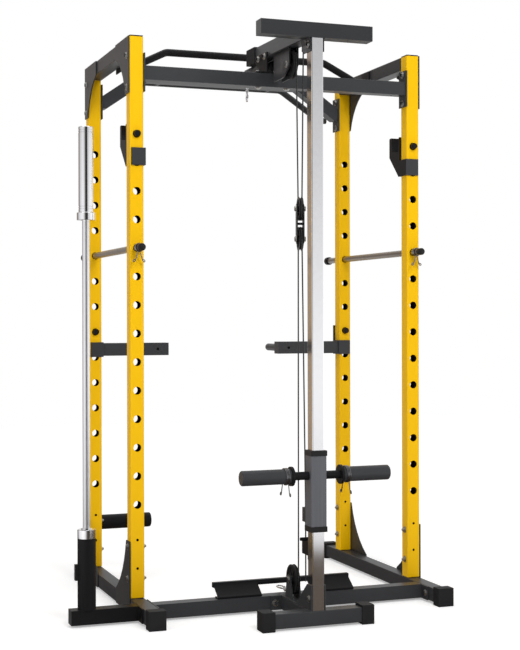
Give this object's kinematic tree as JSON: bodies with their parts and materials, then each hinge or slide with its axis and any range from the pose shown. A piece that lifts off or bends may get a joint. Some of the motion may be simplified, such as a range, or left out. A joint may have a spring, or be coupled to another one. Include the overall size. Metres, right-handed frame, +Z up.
{
  "type": "power rack",
  "caption": "Steel power rack with a plate-loaded cable tower, pull-up bars, J-hooks, safety bars, dip arms and a short barbell in a floor holder.",
  "frame": {"origin": "on the floor, under the middle of the whole rack's footprint box", "axes": "+Z up, +X to the right across the cage, +Y from the cable tower into the cage"},
  "size_m": [1.3706, 1.2494, 2.0656],
  "materials": {
    "bare_steel": "dull turned bar",
    "black_plastic": "moulded, satin",
    "black_rubber": "moulded, matt",
    "charcoal_paint": "fine textured satin powder coat",
    "chrome": "polished plate",
    "coated_cable": "plastic coat over steel wire rope",
    "yellow_paint": "smooth semi-gloss powder coat"
  },
  "bodies": {
    "rack": {"bar_holder": "charcoal_paint", "boom": "charcoal_paint", "boom_end_cap": "black_rubber", "boom_saddle": "charcoal_paint", "cable_anchor_to_block": "coated_cable", "cable_block_to_low_pulley": "coated_cable", "cable_front_to_carabiner": "coated_cable", "cable_over_boom": "coated_cable", "cable_rear_pulley_to_block": "coated_cable", "cable_under_low_pulley": "coated_cable", "far_arch_beam": "charcoal_paint", "floor_cross_member": "charcoal_paint", "floor_rail_left": "charcoal_paint", "floor_rail_right": "charcoal_paint", "foot_rest": "charcoal_paint", "near_top_beam": "charcoal_paint", "pull_up_bar_middle": "black_plastic", "rail_cap_far_left": "black_rubber", "rail_cap_far_right": "black_rubber", "rail_cap_near_left": "black_rubber", "rail_cap_near_right": "black_rubber", "side_beam_left": "charcoal_paint", "side_beam_right": "charcoal_paint", "storage_peg": "charcoal_paint", "tail_guide": "charcoal_paint", "tower_base": "charcoal_paint", "tower_foot_cap_left": "black_rubber", "tower_foot_cap_right": "black_rubber", "tower_post": "chrome", "upright_far_left": "yellow_paint", "upright_far_right": "yellow_paint", "upright_near_left": "yellow_paint", "upright_near_right": "yellow_paint"},
    "carriage": {"carriage_sleeve": "charcoal_paint", "carriage_liner": "black_plastic", "cable_tail": "coated_cable"},
    "peg_clip_left": {"peg_clip_left": "chrome"},
    "peg_clip_right": {"peg_clip_right": "chrome"},
    "block": {"block_frame": "charcoal_paint", "cable_under_block_pulley": "coated_cable", "cable_over_block_pulley": "coated_cable", "cable_block_to_carriage": "coated_cable"},
    "block_pulley_upper": {"block_pulley_upper": "black_plastic"},
    "block_pulley_lower": {"block_pulley_lower": "black_plastic"},
    "rear_pulley": {"rear_pulley": "black_plastic"},
    "front_pulley": {"front_pulley": "black_plastic"},
    "low_pulley": {"low_pulley": "black_plastic"},
    "lat_hook": {"lat_carabiner": "chrome"},
    "row_hook": {"row_carabiner": "chrome"},
    "bar_hook_left": {"bar_hook_left": "charcoal_paint"},
    "bar_hook_right": {"bar_hook_right": "charcoal_paint"},
    "dip_arm_left": {"dip_arm_left": "charcoal_paint"},
    "dip_arm_right": {"dip_arm_right": "charcoal_paint"},
    "safety_bar_left": {"safety_bar_left": "bare_steel"},
    "safety_bar_right": {"safety_bar_right": "bare_steel"},
    "safety_clip_left": {"safety_clip_left": "chrome"},
    "safety_clip_right": {"safety_clip_right": "chrome"},
    "barbell": {"barbell_shaft": "chrome"},
    "barbell_sleeve_top": {"barbell_sleeve_top": "chrome"},
    "barbell_sleeve_low": {"barbell_sleeve_low": "chrome"}
  },
  "joints": [
    {"name": "carriage_slide", "type": "slide", "parent": "rack", "child": "carriage", "axis": [0, 0, 1], "range_m": [0, 0.8]},
    {"name": "block_slide", "type": "slide", "parent": "rack", "child": "block", "axis": [0, 0, 1], "range_m": [0, 0.4], "deforming": ["cable_rear_pulley_to_block", "cable_anchor_to_block", "cable_block_to_low_pulley", "cable_block_to_carriage"]},
    {"name": "lat_hook_slide", "type": "slide", "parent": "rack", "child": "lat_hook", "axis": [0, 0, -1], "range_m": [0, 0.8], "deforming": ["cable_front_to_carabiner"]},
    {"name": "rear_pulley_spin", "type": "hinge", "parent": "rack", "child": "rear_pulley", "pos_m": [0.093, -0.37332, 1.931], "axis": [-1, 0, 0], "continuous": true},
    {"name": "front_pulley_spin", "type": "hinge", "parent": "rack", "child": "front_pulley", "pos_m": [0.093, 0.06268, 1.953], "axis": [-1, 0, 0], "continuous": true},
    {"name": "block_pulley_upper_spin", "type": "hinge", "parent": "block", "child": "block_pulley_upper", "pos_m": [0.093, -0.45432, 1.418], "axis": [0.9759, -0.2181, 0], "continuous": true},
    {"name": "block_pulley_lower_spin", "type": "hinge", "parent": "block", "child": "block_pulley_lower", "pos_m": [0.093, -0.45432, 1.313], "axis": [-0.9759, 0.2181, 0], "continuous": true},
    {"name": "row_hook_slide", "type": "slide", "parent": "rack", "child": "row_hook", "axis": [0, 1, 0], "range_m": [0, 0.8]},
    {"name": "low_pulley_spin", "type": "hinge", "parent": "rack", "child": "low_pulley", "pos_m": [0.093, -0.38182, 0.1225], "axis": [1, 0, 0], "continuous": true},
    {"name": "bar_hook_left_swing", "type": "hinge", "parent": "rack", "child": "bar_hook_left", "pos_m": [-0.424, -0.18432, 1.6863], "axis": [0, -1, 0], "range_deg": [0, 90]},
    {"name": "bar_hook_right_swing", "type": "hinge", "parent": "rack", "child": "bar_hook_right", "pos_m": [0.65, -0.18432, 1.6863], "axis": [0, 1, 0], "range_deg": [0, 90]},
    {"name": "dip_arm_left_swing", "type": "hinge", "parent": "rack", "child": "dip_arm_left", "pos_m": [-0.424, 0.45368, 0.9863], "axis": [0, -1, 0], "range_deg": [0, 90]},
    {"name": "dip_arm_right_swing", "type": "hinge", "parent": "rack", "child": "dip_arm_right", "pos_m": [0.65, 0.45368, 0.9863], "axis": [0, 1, 0], "range_deg": [0, 90]},
    {"name": "safety_bar_left_slide", "type": "slide", "parent": "rack", "child": "safety_bar_left", "axis": [0, 1, 0], "range_m": [0, 0.8]},
    {"name": "safety_bar_right_slide", "type": "slide", "parent": "rack", "child": "safety_bar_right", "axis": [0, 1, 0], "range_m": [0, 0.8]},
    {"name": "safety_clip_left_slide", "type": "slide", "parent": "rack", "child": "safety_clip_left", "axis": [0, -1, 0], "range_m": [0, 0.1]},
    {"name": "safety_clip_right_slide", "type": "slide", "parent": "rack", "child": "safety_clip_right", "axis": [0, -1, 0], "range_m": [0, 0.1]},
    {"name": "peg_clip_left_slide", "type": "slide", "parent": "carriage", "child": "peg_clip_left", "axis": [-1, 0, 0], "range_m": [0, 0.17]},
    {"name": "peg_clip_right_slide", "type": "slide", "parent": "carriage", "child": "peg_clip_right", "axis": [1, 0, 0], "range_m": [0, 0.17]},
    {"name": "barbell_lift", "type": "slide", "parent": "rack", "child": "barbell", "axis": [0, 0, 1], "range_m": [0, 0.3]},
    {"name": "barbell_sleeve_top_spin", "type": "hinge", "parent": "barbell", "child": "barbell_sleeve_top", "pos_m": [-0.6273, -0.3053, 1.5], "axis": [0, 0, 1], "continuous": true},
    {"name": "barbell_sleeve_low_spin", "type": "hinge", "parent": "barbell", "child": "barbell_sleeve_low", "pos_m": [-0.6273, -0.3053, 0.2], "axis": [0, 0, 1], "continuous": true}
  ],
  "couplings": [
    {"joint": "block_slide", "follows": "carriage_slide", "ratio": 0.5},
    {"joint": "lat_hook_slide", "follows": "carriage_slide", "ratio": 1},
    {"joint": "rear_pulley_spin", "follows": "carriage_slide", "rad_per_m": 20},
    {"joint": "front_pulley_spin", "follows": "carriage_slide", "rad_per_m": 35.714},
    {"joint": "block_pulley_upper_spin", "follows": "carriage_slide", "rad_per_m": 12.5},
    {"joint": "block_pulley_lower_spin", "follows": "carriage_slide", "rad_per_m": 12.5},
    {"joint": "low_pulley_spin", "follows": "row_hook_slide", "rad_per_m": 20}
  ]
}
